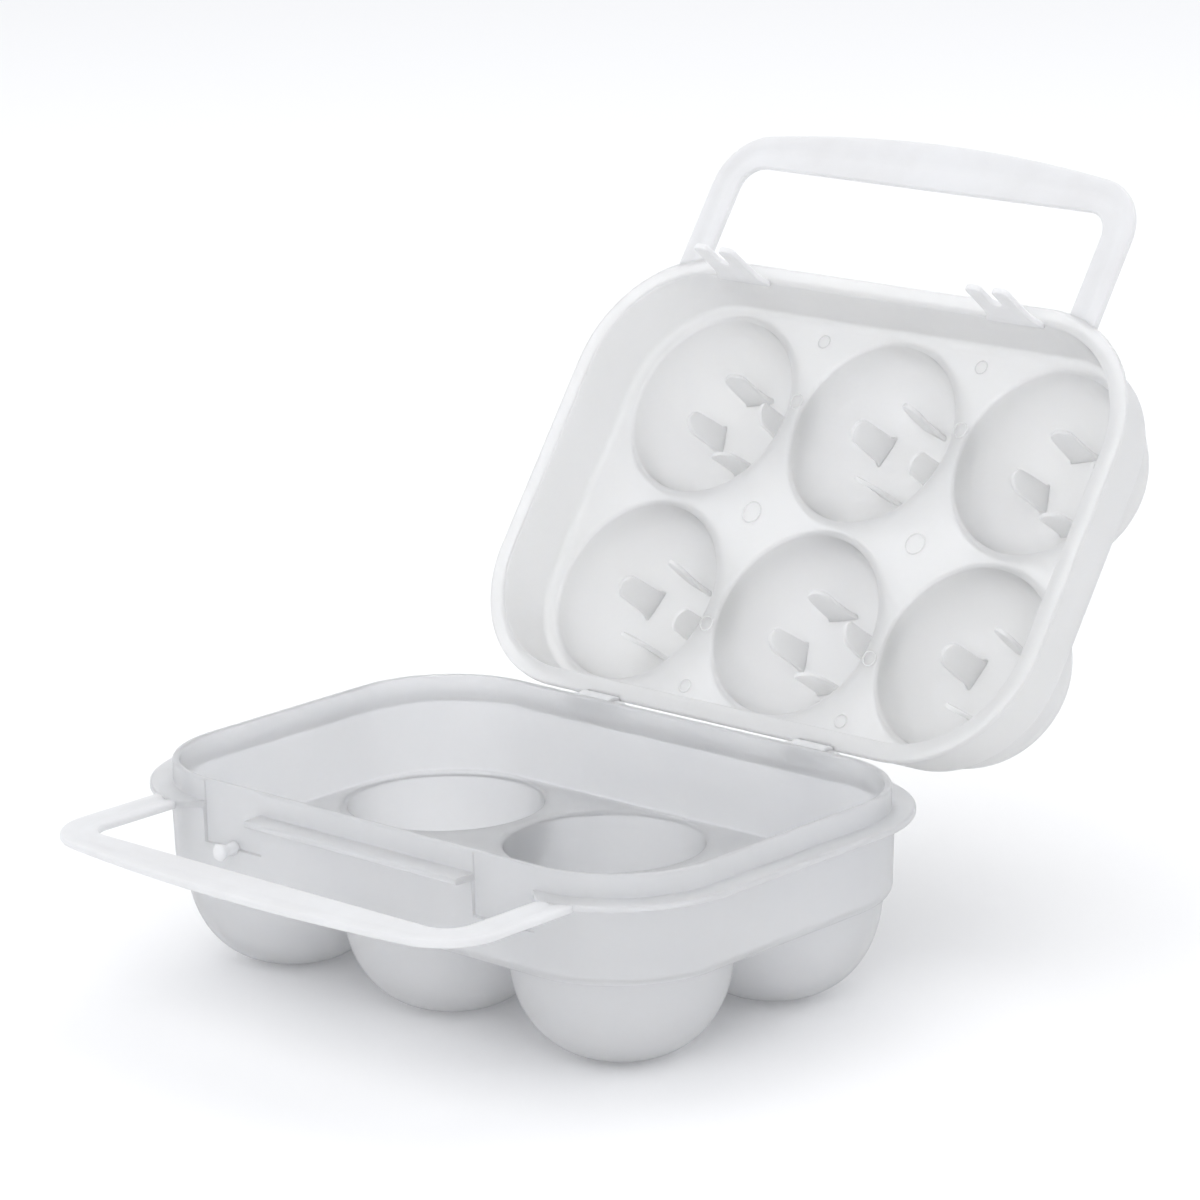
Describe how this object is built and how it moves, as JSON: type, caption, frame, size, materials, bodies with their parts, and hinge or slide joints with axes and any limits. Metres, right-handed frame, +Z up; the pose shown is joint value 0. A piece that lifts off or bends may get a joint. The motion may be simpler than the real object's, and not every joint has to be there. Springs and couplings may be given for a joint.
{
  "type": "egg carton",
  "caption": "Hinged plastic egg carrier, standing open: a tray and a domed lid with egg cups, a bail handle on each half, and forked latches that snap onto pegs.",
  "frame": {"origin": "bottom centre of the bounding box of the carton with its lid open, on the surface that it stands on", "axes": "+Z up, -Y towards the side that opens, with the tray's handle, +Y towards the hinge and the open lid, +X to the right along the row of three cups"},
  "size_m": [0.1502, 0.2214, 0.1537],
  "materials": {
    "tray": "translucent frosted polypropylene, fine-etched inside and out",
    "lid": "translucent frosted polypropylene, slightly glossier than the tray on its flange",
    "handles": "translucent frosted polypropylene, smooth",
    "latches": "translucent polypropylene, smooth from the mould",
    "hinges": "translucent polypropylene, smooth from the mould",
    "fingers": "thin translucent frosted polypropylene"
  },
  "bodies": {
    "tray": {"base_handle": "handles", "base_tray": "tray", "hinge_bracket_left": "hinges", "hinge_bracket_right": "hinges", "latch_peg_left": "latches", "latch_peg_right": "latches", "tray_cup_front_left": "tray", "tray_cup_front_middle": "tray", "tray_cup_front_right": "tray", "tray_cup_rear_left": "tray", "tray_cup_rear_middle": "tray", "tray_cup_rear_right": "tray"},
    "lid": {"finger_front_left_1": "fingers", "finger_front_left_2": "fingers", "finger_front_left_3": "fingers", "finger_front_left_4": "fingers", "finger_front_middle_1": "fingers", "finger_front_middle_2": "fingers", "finger_front_middle_3": "fingers", "finger_front_middle_4": "fingers", "finger_front_right_1": "fingers", "finger_front_right_2": "fingers", "finger_front_right_3": "fingers", "finger_front_right_4": "fingers", "finger_rear_left_1": "fingers", "finger_rear_left_2": "fingers", "finger_rear_left_3": "fingers", "finger_rear_left_4": "fingers", "finger_rear_middle_1": "fingers", "finger_rear_middle_2": "fingers", "finger_rear_middle_3": "fingers", "finger_rear_middle_4": "fingers", "finger_rear_right_1": "fingers", "finger_rear_right_2": "fingers", "finger_rear_right_3": "fingers", "finger_rear_right_4": "fingers", "hinge_hook_left": "hinges", "hinge_hook_right": "hinges", "latch_claw_left": "latches", "latch_claw_right": "latches", "lid_cup_front_left": "lid", "lid_cup_front_middle": "lid", "lid_cup_front_right": "lid", "lid_cup_rear_left": "lid", "lid_cup_rear_middle": "lid", "lid_cup_rear_right": "lid", "lid_handle": "handles", "lid_shell": "lid"}
  },
  "joints": [
    {"name": "lid_hinge", "type": "hinge", "parent": "tray", "child": "lid", "pos_m": [0, 0.02878, 0.03985], "axis": [1, 0, 0], "range_deg": [0, 125.2]}
  ]
}
